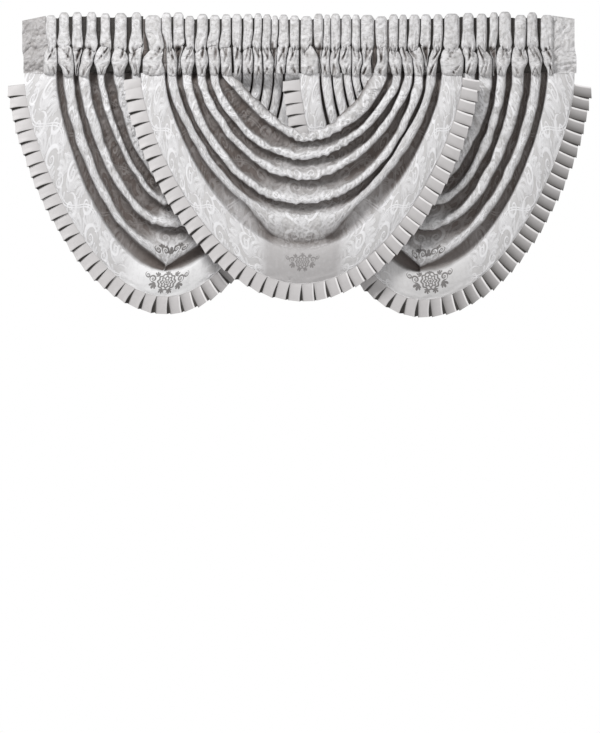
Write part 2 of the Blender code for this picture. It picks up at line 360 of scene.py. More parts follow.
def swagPoints(swag):
    settings = swagSettings
    places, depths, shades = (refine(rows) for rows in swagSection(swag))
    rows, columns = depths.shape
    run = np.array([runAlong(line) for line in places])
    total = run[:, -1:]
    ramp = ease(np.minimum(run, total - run) / settings["rampLength"])
    along = np.linspace(0.0, 1.0, columns)
    level = np.interp(along, (0.12, 0.5, 0.82), swag["levels"])[None, :]
    crumple = settings["crumple"] * softNoise(rows, columns, rows // 4, columns // 5, swag["seed"])
    crumple += 0.7 * settings["crumple"] * softNoise(rows, columns, rows // 2, columns // 2,
                                                     swag["seed"] + 1)
    inward = np.linspace(0.15, 1.3, rows)[:, None]
    y = level * ramp + depths * mix(settings["seamFold"], 1.0, ramp) + crumple * inward * ramp
    hemCells = int(total[0, 0] / settings["hemRippleLength"])
    hemRipple = softNoise(rows, columns, rows - 1, hemCells, swag["seed"] + 2)
    nearHem = np.interp(np.arange(rows), (0.0, 2.0, 7.0), (0.3, 1.0, 0.0))[:, None]
    y += settings["hemRipple"] * hemRipple * nearHem
    forward = 1.0 - np.clip(depths / settings["foldDepth"], 0.0, 1.0)
    y -= settings["seamForward"] * (1.0 - ramp) * forward
    points = np.stack((places[..., 0], y, places[..., 1]), axis=2)
    u = run - 0.5 * total
    v = runAlong(points[:, columns // 2])[:, None] + 0.0 * u
    return points, np.stack((u, v), axis=2), shades


# Ruffles

ruffleSettings = {
    "pleats": 48,
    "gap": 0.2,  # from the swag's hem
    "width": 55.0,
    "rows": 12,
    "thickness": 0.8,
    "seamRise": 2.0,  # a pleat's folded edge stands forward by this at the seam
    "edgeRise": 9.0,  # and by this at the outer edge
    "grooveDepth": 4.5,
    "opening": 5.0,  # the slit beside a face at its widest, in the left arms
    "narrowOpening": 1.8,  # and in the right arms
    "slant": 2.6,  # a pleat's lower corner hangs past the next one by about this
    "foldedEdge": (0.425, 0.455, 0.50),  # the pleat's lines that get a painted highlight in the right arms
}
# Lines across a pleat: share of its width, share of its rise, and how much painted shade it has there.
pleatLines = ((-0.50, -0.05, 0.5), (-0.44, 0.04, 0.22), (-0.30, 0.2, 0.06), (-0.08, 0.42, 0.0),
              (0.12, 0.62, 0.0), (0.32, 0.82, 0.0), (0.425, 0.95, 0.0), (0.455, 1.0, 0.0),
              (0.50, 0.92, 0.1), (0.49, 0.4, 0.75))


def rufflePoints(hem, starts, dim, seed):
    settings = ruffleSettings
    random = np.random.default_rng(seed)
    run = runAlong(hem)
    drop = swagSettings["seamTop"] - swagSettings["curveTop"]
    start = starts[0] + drop
    pitch = (run[-1] - start - starts[1] - drop) / settings["pleats"]
    way = tangents(hem[:, [0, 2]])
    depth = np.linspace(0.0, 1.0, settings["rows"])
    columns, shades = [], []

    def frameAt(along):
        middle = np.array([np.interp(along, run, hem[:, axis]) for axis in range(3)])
        right = np.array([np.interp(along, run, way[:, axis]) for axis in range(2)])
        right /= np.linalg.norm(right)
        return middle, np.array((right[0], 0.0, right[1])), np.array((right[1], 0.0, -right[0]))

    for pleat in range(settings["pleats"]):
        middle, right, out = frameAt(start + (pleat + 0.5) * pitch)
        downward = -right[2]  # 1 in the left arm, -1 in the right arm
        out = out + right * (random.uniform(-0.035, 0.035) + 0.03 * downward)
        reach = settings["width"] + random.uniform(-1.6, 1.2)
        slant = settings["slant"] * np.clip(1.6 * downward, -1.0, 1.0) + random.uniform(-1.0, 1.0)
        opening = mix(settings["narrowOpening"], settings["opening"], ease(0.46 + 0.8 * downward))
        narrow = opening * random.uniform(0.65, 1.2) * np.sin(
            np.pi * np.minimum(0.97, 0.78 * depth ** random.uniform(1.0, 1.5))) ** 0.8
        rise = mix(settings["seamRise"], settings["edgeRise"], depth ** 0.7)
        belly = random.uniform(0.5, 1.7)
        # in the right arms a pleat's folded edge is above: it gets a painted highlight, and the face
        # under it painted shade
        away = ease(0.4 - 0.9 * downward)
        for share, lift, dark in pleatLines:
            wide = (pitch + 0.4) * share - (narrow if share > 0.3 else 0.0)
            far = settings["gap"] + depth * (reach + 2.0 * slant * share)
            line = middle + right * np.broadcast_to(wide, depth.shape)[:, None] + out * far[:, None]
            line[:, 1] -= rise * lift + belly * np.cos(np.pi * share) * np.sin(np.pi * depth)
            columns.append(line)
            # the folded edge gets a painted highlight; the rest of the face painted shade, deeper
            # towards its tucked side and the seam
            if share in settings["foldedEdge"]:
                face = -1.0
            else:
                face = dim + 0.40 * (0.5 - share) ** 1.4 + 0.10 * (1.0 - depth) ** 2
                face += 0.3 * (share == -0.50)
            shades.append(mix(dark * depth ** 0.4, face, away))
        if pleat < settings["pleats"] - 1:
            middle2, right2, out2 = frameAt(start + (pleat + 1.5) * pitch)
            far = settings["gap"] + depth * (reach - 3.5)
            nextStart = middle2 - right2 * 0.5 * pitch + out2 * far[:, None]
            # two lines down a groove between pleats, in painted shade
            for share in (0.3, 0.8):
                line = mix(columns[-1 if share < 0.5 else -2], nextStart, share)
                line[:, 1] = middle[1] + settings["grooveDepth"] * depth ** 0.6
                columns.append(line)
                shades.append(mix(0.85, 1.0, ease(0.6 + downward)) * depth ** 0.25)
    points = np.array(columns).transpose(1, 0, 2)
    shade = np.array(shades).T
    # painted shade along the seam
    shade[0] = np.maximum(shade[0], 0.3)
    u = runAlong(points[settings["rows"] // 2])[None, :] + 0.0 * shade
    v = settings["width"] * depth[:, None] + 0.0 * shade
    return points[::-1], np.stack((u, v), axis=2)[::-1], shade[::-1]


# Gathered headings

headingSettings = {
    "thickness": 1.4,
    "pinch": 37.0,  # height of the stitching above the rod's axis
    "levels": (-34.0, 2.0, 46.0, 104.0),  # heights at which a gather's sides are given
    "pocketDepths": (34.0, 11.0, 17.0),  # at a ridge, between gathers and at a flat end
    "pinchDepths": (9.0, 2.5, 6.0),
    "frillDepths": (18.5, 2.5, 9.0),
    "crown": 10.0,  # the frill's top rounds off over this height
    "dip": 12.0,  # and is this much lower between gathers
    "squareness": 2.8,
    "samples": 26,  # across a gather
    "flatSamples": 28,  # across an ungathered end
    "pocketRows": 24,
    "frillRows": 25,
    "backRows": 16,
    "leastGap": 1.8,
    "spread": 0.7,  # a gather's sides stand out past the table's by this
    "dents": 2.4,
    "stitchWander": 13.0,  # how unevenly the stitching runs
    "stitchReach": 22.0,  # and how far from it the cloth follows
    "stitchPitch": 7.5,
    "wrinkles": 24,  # slanting ones on an ungathered end
    "wrinkleDepth": 4.0,
    "wrinkleWidth": 2.8,
    "wrinkleLength": (9.0, 22.0),
    "footDroop": (8.0, 16.0),  # how far a gather hangs over the pocket's foot, rounded
    "lip": (2.0, 9.0),  # how far a tube's lower end bulges down over the stitching
    # painted shade at a gather's sides and in the gaps between gathers
    "gapShade": 1.6,
}
# Creases on each gather: how many, heights at which they start and end, how far across they
# start and how far they run sideways as shares of the gather's half width, depth, half width.
headingCreases = (
    (2, (38.0, 41.0), (-26.0, 4.0), 0.8, 1.3, 9.0, 3.0),
    (2, (-46.0, -38.0), (-14.0, 12.0), 0.8, 1.2, 7.0, 2.8),
    (2, (34.0, 37.0), (48.0, 70.0), 0.8, 0.3, 4.5, 1.8),
    (1, (46.0, 62.0), (92.0, 130.0), 0.6, 0.3, 2.8, 1.8),
)
# Each heading: its swag and which arm of it, start and end along the rod at the pocket and at the
# frill, the ungathered end's width (left of the gathers if negative), its painted shade and its
# height at both sides, and the painted shade at the start. Each gather: the height of its top, then
# its left and right side at the frill's top, above the stitching, on the pocket and at its foot.
headings = {
    "heading_left_outer": {
        "swag": "left", "side": 0, "start": (-857.0, -861.0), "end": (-489.5, -486.0), "flat": -66.0,
        "flatShade": 0.44, "flatTops": (125.0, 140.0), "startShade": 0.0,
        "gathers": (
            (142, -788, -756, -782, -755, -795, -752, -795, -755),
            (151, -746, -716, -753, -711, -751, -702, -735, -701),
            (152, -704, -676, -707, -673, -700, -683, -696, -690),
            (152, -662, -633, -667, -627, -678, -642, -686, -653),
            (148, -617, -589, -620, -585, -639, -589, -629, -603),
            (149, -573, -537, -577, -538, -584, -533, -577, -545),
            (151, -521, -492, -531, -487, -530, -493, -520, -499),
        ),
    },
    "heading_centre_left": {
        "swag": "centre", "side": 0, "start": (-489.0, -485.5), "end": (-209.5, -212.5), "flat": 0.0,
        "flatShade": 0.0, "startShade": 0.7,
        "gathers": (
            (142, -480, -431, -468, -422, -487, -428, -487, -419),
            (150, -428, -399, -414, -396, -413, -380, -411, -383),
            (151, -392, -361, -392, -358, -379, -372, -378, -371),
            (140, -357, -329, -352, -329, -371, -327, -365, -335),
            (146, -319, -287, -326, -290, -324, -285, -319, -293),
            (143, -278, -248, -290, -254, -282, -248, -279, -252),
            (145, -242, -215, -250, -215, -245, -213, -243, -212),
        ),
    },
    "heading_left_inner": {
        "swag": "left", "side": 1, "start": (-209.0, -212.0), "end": (-0.5, -0.5), "flat": 0.0,
        "flatShade": 0.0, "startShade": 1.6,
        "gathers": (
            (146, -210, -181, -209, -183, -205, -180, -203, -183),
            (146, -174, -146, -177, -151, -177, -146, -177, -148),
            (148, -142, -120, -148, -122, -142, -118, -143, -117),
            (145, -115, -91, -118, -93, -113, -82, -112, -84),
            (141, -87, -68, -89, -72, -79, -74, -80, -77),
            (144, -63, -36, -68, -33, -72, -44, -74, -48),
            (141, -31, -3, -31, -3, -41, -4, -43, -4),
        ),
    },
    "heading_right_inner": {
        "swag": "right", "side": 0, "start": (0.0, 0.0), "end": (223.5, 230.5), "flat": 0.0,
        "flatShade": 0.0, "startShade": 1.6,
        "gathers": (
            (139, 3, 38, 2, 37, 3, 58, 3, 58),
            (147, 42, 70, 45, 69, 60, 63, 60, 63),
            (144, 74, 93, 72, 94, 65, 91, 68, 93),
            (147, 97, 125, 97, 125, 92, 119, 95, 124),
            (144, 130, 159, 128, 158, 121, 159, 131, 157),
            (144, 162, 185, 161, 186, 162, 193, 162, 184),
            (143, 189, 229, 190, 228, 196, 219, 190, 221),
        ),
    },
    "heading_centre_right": {
        "swag": "centre", "side": 1, "start": (224.0, 231.0), "end": (509.5, 497.0), "flat": 0.0,
        "flatShade": 0.0, "startShade": 0.6,
        "gathers": (
            (139, 234, 270, 237, 270, 240, 272, 229, 269),
            (145, 275, 303, 277, 302, 275, 315, 284, 313),
            (144, 307, 330, 306, 330, 317, 348, 324, 350),
            (144, 339, 371, 334, 368, 351, 383, 355, 383),
            (145, 375, 405, 372, 404, 386, 395, 386, 390),
            (145, 415, 443, 412, 440, 400, 426, 392, 422),
            (147, 448, 494, 445, 494, 435, 507, 439, 505),
        ),
    },
    "heading_right_outer": {
        "swag": "right", "side": 1, "start": (510.0, 497.5), "end": (857.0, 851.0), "flat": 72.0,
        "flatShade": 0.08, "flatTops": (141.0, 131.0), "startShade": 1.6,
        "gathers": (
            (149, 505, 538, 500, 545, 513, 551, 513, 545),
            (147, 549, 580, 547, 578, 554, 596, 555, 595),
            (151, 589, 614, 586, 609, 598, 606, 598, 603),
            (153, 618, 654, 619, 658, 608, 652, 611, 639),
            (143, 666, 701, 664, 698, 656, 706, 658, 693),
            (151, 706, 736, 704, 739, 710, 751, 717, 746),
            (143, 747, 786, 746, 786, 755, 786, 768, 786),
        ),
    },
}


def roundEnd(share):
    share = np.clip(share, 0.0, 1.0)
    return (1.0 - (1.0 - share) ** 2) ** 0.5


def gatherSides(heading, height):
    # left and right side of each gather at a height, kept a little apart
    settings = headingSettings
    table = np.array(heading["gathers"], float)
    at = np.interp(height, settings["levels"], range(4))
    low = min(int(at), 2)
    share = ease(at - low)
    order = (7, 5, 3, 1)
    left = mix(table[:, order[low]], table[:, order[low + 1]], share) - settings["spread"]
    right = mix(table[:, order[low] + 1], table[:, order[low + 1] + 1], share) + settings["spread"]
    for index in range(len(left) - 1):
        short = settings["leastGap"] - (left[index + 1] - right[index])
        if short > 0.0:
            right[index] -= 0.5 * short
            left[index + 1] += 0.5 * short
    return left, right


def headingRow(heading, own, zone, share):
    # one line along the rod: x, depth, z and shade of each column, which gather it is on and how
    # far across; `own` has the gathers' own depths, leans and droops
    settings = headingSettings
    pinch = settings["pinch"]
    frill = zone == "frill"
    if frill:
        full = roundEnd(share / 0.10)
        narrow = mix(0.60, 1.0, roundEnd(share / 0.15))
        hold = 1.0
    else:
        height = 2.0 * share - 1.0
        full = (1.0 - abs(height) ** (4.5 if height < 0.0 else 2.4)) ** 0.5
        narrow = mix(0.70, 1.0, roundEnd((1.0 - share) / 0.2)) * mix(0.84, 1.0, roundEnd(share / 0.12))
        hold = 0.0 if share < 0.5 else 1.0
    ridge, valley, flat = (mix(hold * first, second, full)
                           for first, second in zip(settings["pinchDepths"], settings[zone + "Depths"]))
    if not frill:
        flat = mix(hold * settings["pinchDepths"][2], settings["pocketDepths"][2], 1.0 - height ** 2)
    angle = np.linspace(-np.pi / 2, np.pi / 2, settings["samples"])
    power = 2.0 / settings["squareness"]
    lobeX = np.sign(np.sin(angle)) * np.abs(np.sin(angle)) ** power
    lobeFull = np.abs(np.cos(angle)) ** power
    lobeFull[[0, -1]] = 0.0
    parts = []
    tops = [gather[0] for gather in heading["gathers"]]
    last = len(tops) - 1

    def heightOf(top):
        return mix(pinch, top, share) if frill else mix(-pinch, pinch, share)

    def edgeAt(name):
        return mix(*heading[name], ease((heightOf(tops[0]) - 15.0) / 40.0))

    def addColumns(x, depth, z, shade, owner=-1, across=0.0):
        parts.append([value + 0.0 * x for value in (x, depth, z, shade, owner, across)])

    # an ungathered end, with its own painted shade
    def addFlat(start, end):
        crown = np.clip((share - 0.9) / 0.1, 0.0, 1.0) if frill else 0.0
        count = settings["flatSamples"]
        addColumns(np.linspace(start, end, count), flat * math.sqrt(1.0 - crown ** 2),
                   heightOf(np.linspace(*heading["flatTops"], count)), heading["flatShade"])

    def addSide(name, top, shade):
        # a heading's start tucks behind the end of the one before it
        tuck = 1.0 if name == "start" else 0.0
        # its single column lies in painted shade
        addColumns(np.array([edgeAt(name) - tuck]), 0.8 * valley - 1.7 * tuck * (share > 0.0),
                   heightOf(top - settings["dip"]), shade)

    if heading["flat"] < 0.0:
        left = gatherSides(heading, heightOf(tops[0]))[0]
        addFlat(edgeAt("start"), left[0] - 0.4)
    else:
        addSide("start", tops[0], heading["startShade"])
    for index, top in enumerate(tops):
        left, right = gatherSides(heading, heightOf(top))
        middle, half = 0.5 * (left[index] + right[index]), 0.5 * (right[index] - left[index])
        crown = 0.0
        if frill:
            crown = np.clip(1.0 - (1.0 - share) * (top - pinch) / settings["crown"], 0.0, 1.0)
        rounded = math.sqrt(1.0 - crown ** 2.2)
        half *= narrow
        x = middle + own["lean"][index] * share * frill + lobeX * half * (1.0 - 0.25 * crown ** 3)
        depthHere = min(own["depth"][index] * ridge, max(valley + 2.0, 1.25 * half + valley))
        depth = (valley + (depthHere - valley) * lobeFull) * rounded
        # painted shade on the gather's sides, full where it meets the gap
        shade = settings["gapShade"] * ease((0.36 - lobeFull) / 0.36)
        if (heading["flat"] < 0.0 and index == 0) or (heading["flat"] > 0.0 and index == last):
            # this gather runs on into the flat end
            beside = lobeX * heading["flat"] > 0.0
            depth = np.where(beside, np.maximum(depth, flat), depth)
            shade = np.where(beside, heading["flatShade"] * (1.0 - lobeFull), shade)
        if frill:
            z = mix(pinch, top - settings["dip"] * (1.0 - lobeFull) ** 1.5, share)
            z -= own["lip"][index] * lobeFull * math.exp(-(share / 0.05) ** 2)
        else:
            z = heightOf(top) - own["droop"][index] * lobeFull * math.exp(-((share - 0.06) / 0.09) ** 2)
        addColumns(x, depth, z, shade, index, lobeX)
        if index < last:
            nextLeft = gatherSides(heading, heightOf(tops[index + 1]))[0][index + 1]
            nextLeft += own["lean"][index + 1] * share * frill
            gapTop = 0.5 * (top + tops[index + 1]) - settings["dip"] - 2.0
            early = index == 0 and heading["startShade"] > 0.0
            # a gap between gathers, in painted shade
            addColumns(mix(x[-1], nextLeft, np.array((0.25, 0.75))), 0.8 * valley * rounded,
                       heightOf(gapTop), heading["startShade"] if early else settings["gapShade"])
    if heading["flat"] > 0.0:
        addFlat(parts[-1][0][-1] + 0.4, edgeAt("end"))
    else:
        addSide("end", tops[-1], settings["gapShade"])
    return [np.concatenate([part[item] for part in parts]) for item in range(6)]


def headingPoints(heading, seam, seed):
    settings = headingSettings
    pinch = settings["pinch"]
    random = np.random.default_rng(seed)
    count = len(heading["gathers"])
    own = {"depth": random.uniform(0.84, 1.0, count), "lean": random.uniform(-1.5, 1.5, count),
           "droop": random.uniform(*settings["footDroop"], count),
           "lip": random.uniform(*settings["lip"], count)}
    own["lean"][[0, -1]] = 0.0
    zones = [("pocket", share) for share in np.linspace(0.0, 1.0, settings["pocketRows"])]
    zones += [("frill", share) for share in np.linspace(0.0, 1.0, settings["frillRows"])[1:] ** 1.15]
    front = [headingRow(heading, own, *zone) for zone in zones]
    x, depth, z, dark, owner, across = (np.array([line[item] for line in front]) for item in range(6))
    rows, columns = x.shape
    wander = lineNoise(columns, max(4, columns // 9), seed + 3)
    z = z + settings["stitchWander"] * wander * np.exp(-((z - pinch) / settings["stitchReach"]) ** 2)
    relief = settings["dents"] * softNoise(rows, columns, rows // 3, columns // 6, seed)
    relief += 0.5 * settings["dents"] * softNoise(rows, columns, rows // 2, columns // 3, seed + 1)
    left, right = gatherSides(heading, 2.0)
    for number, starts, ends, place, run, deep, width in headingCreases:
        for index in range(count):
            half = max(4.0, 0.5 * (right[index] - left[index]))
            for _ in range(number):
                low, high = random.uniform(*starts), random.uniform(*ends)
                slant = random.uniform(0.4, 1.0) * run * random.choice((-1.0, 1.0))
                begin = -np.sign(slant) * random.uniform(0.0, place)
                share = (z - low) / (high - low)
                line = (across - begin - slant * share) * half
                window = ease((share + 0.1) / 0.15) * ease((1.0 - share) / 0.6) * (owner == index)
                groove = np.exp(-(line / width) ** 2) * window
                ridge = np.exp(-((line - 2.2 * width) / (1.3 * width)) ** 2) * window
                relief -= deep * (groove - 0.45 * ridge)
                # painted shade along the crease's groove
                dark = dark + 0.65 * min(1.0, deep / 7.0) * groove
    for _ in range(settings["wrinkles"] if heading["flat"] else 0):
        end = heading["start" if heading["flat"] < 0.0 else "end"][0]
        centre = end - random.uniform(0.0, 1.0) * heading["flat"], random.uniform(-32.0, 130.0)
        angle = random.uniform(0.2, 1.2)
        along = (x - centre[0]) * math.cos(angle) + (z - centre[1]) * math.sin(angle)
        aside = (z - centre[1]) * math.cos(angle) - (x - centre[0]) * math.sin(angle)
        reach = random.uniform(*settings["wrinkleLength"])
        wrinkle = (aside / settings["wrinkleWidth"]) ** 2 + (along / reach) ** 2
        relief -= settings["wrinkleDepth"] * (owner < 0) * np.exp(-wrinkle)
    fromPinch, fromFoot = z - pinch, z + pinch
    atStitch = np.exp(-np.abs(fromPinch) / 6.0) + np.exp(-np.abs(fromFoot) / 6.0)
    relief += atStitch * np.cos(x * (2.0 * np.pi / settings["stitchPitch"]) + 2.0 * np.sin(x / 19.0))
    frontY = -(depth + relief * ease(depth / 9.0))
    order = np.argsort(seam[:, 0])
    seamY = np.interp(x[0], seam[order, 0], seam[order, 1])
    frontY[0] = seamY - 0.3
    frontY[1] = mix(frontY[1], seamY, 0.2)
    back = np.linspace(rows - 2, 0, settings["backRows"]).astype(int)
    backY = depth[back].copy()
    backY[-1] = seamY - 0.3
    y = np.vstack((frontY, backY))
    x = np.vstack((x, x[back]))
    z = np.vstack((z, z[back]))
    z[[0, -1]] = -pinch - 1.0
    # the back gets half the front's painted shade
    dark = np.vstack((dark, dark[back] * 0.5))
    points = np.stack((x, y, z), axis=2)
    u = runAlong(points[rows - 6])[None, :] + 0.0 * x + seed * 37.0
    v = runAlong(points[:, columns // 2])[:, None] + 0.0 * x
    return points, np.stack((u, v), axis=2), dark


# Materials

clothColours = {
    "ground": (0.555, 0.545, 0.545),
    "figure": (0.825, 0.82, 0.835),
    "deep": (0.112, 0.092, 0.083),  # painted shade inside the folds
    "deepestPaintedShade": (0.035, 0.031, 0.028),  # painted shade between gathers
    "rosette": (0.085, 0.075, 0.07),
    "fleck": (0.36, 0.345, 0.335),
    "satin": (0.515, 0.498, 0.497),
    # painted highlight on the ruffle's folded edges, and painted shade in its grooves and on its faces
    "satinPaintedHighlight": (0.78, 0.76, 0.76),
    "satinPaintedShade": (0.05, 0.045, 0.04),
}
mathSigns = {"+": "ADD", "-": "SUBTRACT", "*": "MULTIPLY", "/": "DIVIDE", "*+": "MULTIPLY_ADD"}


def addMath(operation, *values):
    # like the other helpers, it finds its material's node tree from a socket that it is given
    tree = next(value for value in values if not isinstance(value, (int, float))).id_data
    node = tree.nodes.new("ShaderNodeMath")
    node.operation = mathSigns.get(operation, operation)
    for index, value in enumerate(values):
        if isinstance(value, (int, float)):
            node.inputs[index].default_value = value
        else:
            tree.links.new(value, node.inputs[index])
    return node.outputs[0]


def largest(*values):
    whole = values[0]
    for value in values[1:]:
        whole = addMath("MAXIMUM", whole, value)
    return whole


def addStep(value, low, high):
    tree = value.id_data
    node = tree.nodes.new("ShaderNodeMapRange")
    node.interpolation_type = "SMOOTHSTEP"
    node.inputs["From Min"].default_value = low
    node.inputs["From Max"].default_value = high
    tree.links.new(value, node.inputs["Value"])
    return node.outputs["Result"]


def addMix(share, first, second):
    tree = share.id_data
    node = tree.nodes.new("ShaderNodeMix")
    node.data_type = "RGBA"
    for value, socket in ((share, node.inputs[0]), (first, node.inputs[6]), (second, node.inputs[7])):
        if isinstance(value, (int, float)):
            socket.default_value = value
        elif isinstance(value, tuple):
            socket.default_value = (*value, 1.0)
        else:
            tree.links.new(value, socket)
    return node.outputs[2]


def addPolar(x, y, centreX, centreY, period=None):
    # distance and direction from a centre, repeating along y where a period is given
    dx, dy = addMath("-", x, centreX), addMath("-", y, centreY)
    if period is not None:
        dy = addMath("WRAP", dy, period / 2.0, -period / 2.0)
    away = addMath("SQRT", addMath("*+", dx, dx, addMath("*", dy, dy)))
    return away, addMath("ARCTAN2", dy, dx)


def scrollMask(x, y, centreX, centreY, radius, turn, thin=0.32, period=None):
    # a volute: a line that winds in to its centre
    away, angle = addPolar(x, y, centreX, centreY, period)
    share = addMath("/", addMath("MAXIMUM", away, 0.04 * radius), radius)
    winding = addMath("*", addMath("LOGARITHM", share, math.e), 0.75)
    phase = addMath("FRACT", addMath("*+", angle, turn / (2.0 * math.pi), winding))
    line = addMath("ABSOLUTE", addMath("-", phase, 0.5))
    inside = addStep(addMath("-", 1.0, share), 0.0, 0.06)
    return addMath("*", addStep(line, thin - 0.05, thin + 0.05), inside)


def fanMask(x, y, baseX, baseY, degrees, reach, leaves, bend=0.0, hollow=0.5, period=None):
    # outlined leaves with veins, spread like a fan from their base and bent with their reach
    away, angle = addPolar(x, y, baseX, baseY, period)
    angle = addMath("-", angle, math.radians(degrees))
    bent = addMath("*+", away, bend / reach, angle)
    fan = addMath("ABSOLUTE", addMath("COSINE", addMath("*", bent, leaves / 2.0)))
    spread = addMath("*+", addMath("COSINE", angle), 0.62, 0.38)
    lobes = addMath("*+", addMath("POWER", fan, 0.55), 0.60, 0.40)
    length = addMath("*", addMath("*", spread, lobes), reach)
    room = addMath("-", length, away)
    inside = addStep(room, 0.0, 0.0012)
    core = addMath("*", addStep(room, 0.0020, 0.0040), hollow)
    vein = addMath("*", addStep(fan, 0.965, 0.995), 0.95)
    mask = addMath("MAXIMUM", addMath("-", 1.0, core), vein)
    return addMath("*", mask, inside)


# The woven figure repeats over this half width and height, mirrored side to side, in metres.
# A pair of stems swings from side to side between the leaves.
damaskRepeat = {
    "halfWidth": 0.105, "height": 0.270, "startAcross": 0.015, "startAlong": 0.02, "sway": 0.002,
    "stemMiddle": 0.055, "stemSwing": 0.036, "stemHalfGap": 0.0032, "stemEdges": (0.0010, 0.0024),
    "scrollStrength": 0.9,
}
# Volutes: centre, radius, way round.
damaskScrolls = (
    (0.036, 0.046, 0.034, 1), (0.080, 0.106, 0.030, -1), (0.031, 0.162, 0.032, -1),
    (0.080, 0.212, 0.030, 1), (0.034, 0.248, 0.020, -1),
)
# Fans of leaves: base, direction in degrees, reach, leaves in a whole turn, bend.
damaskFans = (
    (0.058, 0.060, 55, 0.048, 13, 1.0), (0.010, 0.084, 62, 0.056, 13, -0.8),
    (0.050, 0.122, 120, 0.048, 13, 0.8), (0.100, 0.140, 110, 0.050, 13, -0.8),
    (0.056, 0.186, 40, 0.050, 13, 0.9), (0.004, 0.196, 75, 0.050, 13, 0.0),
    (0.060, 0.240, 75, 0.046, 13, -0.8), (0.102, 0.236, 90, 0.046, 13, 0.0),
    (0.006, 0.008, 60, 0.042, 13, 0.7), (0.092, 0.028, 120, 0.042, 13, 0.8),
)


def damaskFigure(uv, u, v):
    repeat = damaskRepeat
    tree = uv.id_data
    parts = tree.nodes.new("ShaderNodeSeparateColor")
    tree.links.new(addNoise(uv, 16.0, 1.0, "Color"), parts.inputs[0])
    size, period = 2.0 * repeat["sway"], repeat["height"]
    swayAlong = addMath("*+", parts.outputs[0], size, repeat["startAlong"])
    swayAcross = addMath("*+", parts.outputs[1], size, repeat["startAcross"])
    along = addMath("+", addMath("ABSOLUTE", u), swayAlong)
    across = addMath("PINGPONG", addMath("+", v, swayAcross), repeat["halfWidth"])
    masks = [addMath("*", scrollMask(across, along, *scroll, period=period), repeat["scrollStrength"])
             for scroll in damaskScrolls]
    masks += [fanMask(across, along, *fan, period=period) for fan in damaskFans]
    wave = addMath("SINE", addMath("*", along, 2.0 * math.pi / period))
    stem = addMath("*+", wave, repeat["stemSwing"], repeat["stemMiddle"])
    offset = addMath("ABSOLUTE", addMath("-", across, stem))
    pair = addMath("ABSOLUTE", addMath("-", offset, repeat["stemHalfGap"]))
    return largest(*masks, addMath("-", 1.0, addStep(pair, *repeat["stemEdges"])))


# A dark rosette in rings, with curls and leaves at each side: rings of mean radius, ripple,
# petals and half width of line; volutes; fans.
rosetteRings = ((0.0268, 0.0020, 10.0, 0.0028), (0.0172, 0.0026, 8.0, 0.0028),
                (0.0084, 0.0020, 6.0, 0.0022), (0.0010, 0.0, 1.0, 0.0026))
rosetteScrolls = ((0.045, 0.006, 0.013, 1), (0.064, 0.014, 0.010, -1))
rosetteFans = ((0.000, 0.028, 90, 0.015, 9), (0.034, -0.012, -25, 0.024, 9, 0.6),
               (0.010, -0.026, -60, 0.017, 9, 0.5), (0.026, 0.020, 35, 0.017, 9, -0.6))
# The small crest on the lowest fold's lip.
crestScrolls = ((0.018, 0.004, 0.015, 1), (0.044, -0.002, 0.013, -1))
crestFans = ((0.000, -0.006, 90, 0.022, 7), (0.030, 0.010, 60, 0.016, 7))


def motifMask(u, v, height, size, rings, scrolls, fans):
    x = addMath("/", addMath("ABSOLUTE", u), size)
    y = addMath("/", addMath("-", v, height), size)
    away, angle = addPolar(x, y, 0.0, 0.0)
    masks = []
    for radius, ripple, petals, half in rings:
        wave = addMath("*+", addMath("COSINE", addMath("*", angle, petals)), ripple, radius)
        ring = addMath("ABSOLUTE", addMath("-", away, wave))
        masks.append(addMath("-", 1.0, addStep(ring, half * 0.6, half * 1.4)))
    masks += [scrollMask(x, y, *scroll, thin=0.24) for scroll in scrolls]
    masks += [fanMask(x, y, *fan, hollow=0.0) for fan in fans]
    return largest(*masks)


def clothMaterial(name):
    material = bpy.data.materials.new(name)
    material.use_nodes = True
    tree = material.node_tree
    uvNode = tree.nodes.new("ShaderNodeUVMap")
    uvNode.uv_map = "UVMap"
    split = tree.nodes.new("ShaderNodeSeparateXYZ")
    tree.links.new(uvNode.outputs["UV"], split.inputs[0])
    shade = tree.nodes.new("ShaderNodeAttribute")
    shade.attribute_name = "shade"
    uv, u, v = uvNode.outputs["UV"], split.outputs["X"], split.outputs["Y"]
    return material, tree, uv, u, v, shade.outputs["Fac"]


def addNoise(vector, scale, detail, output="Fac"):
    tree = vector.id_data
    node = tree.nodes.new("ShaderNodeTexNoise")
    node.inputs["Scale"].default_value = scale
    node.inputs["Detail"].default_value = detail
    tree.links.new(vector, node.inputs["Vector"])
    return node.outputs[output]


def addWeave(u, v, pitch):
    # warp and weft threads, as height
    warp = addMath("SINE", addMath("*", u, 2.0 * math.pi / pitch))
    weft = addMath("SINE", addMath("*", v, 2.0 * math.pi / pitch))
    return addMath("*", warp, weft)


def addBump(height, distance, strength, normal=None):
    tree = height.id_data
    node = tree.nodes.new("ShaderNodeBump")
    node.inputs["Distance"].default_value = distance
    node.inputs["Strength"].default_value = strength
    tree.links.new(height, node.inputs["Height"])
    if normal is not None:
        tree.links.new(normal, node.inputs["Normal"])
    return node.outputs["Normal"]


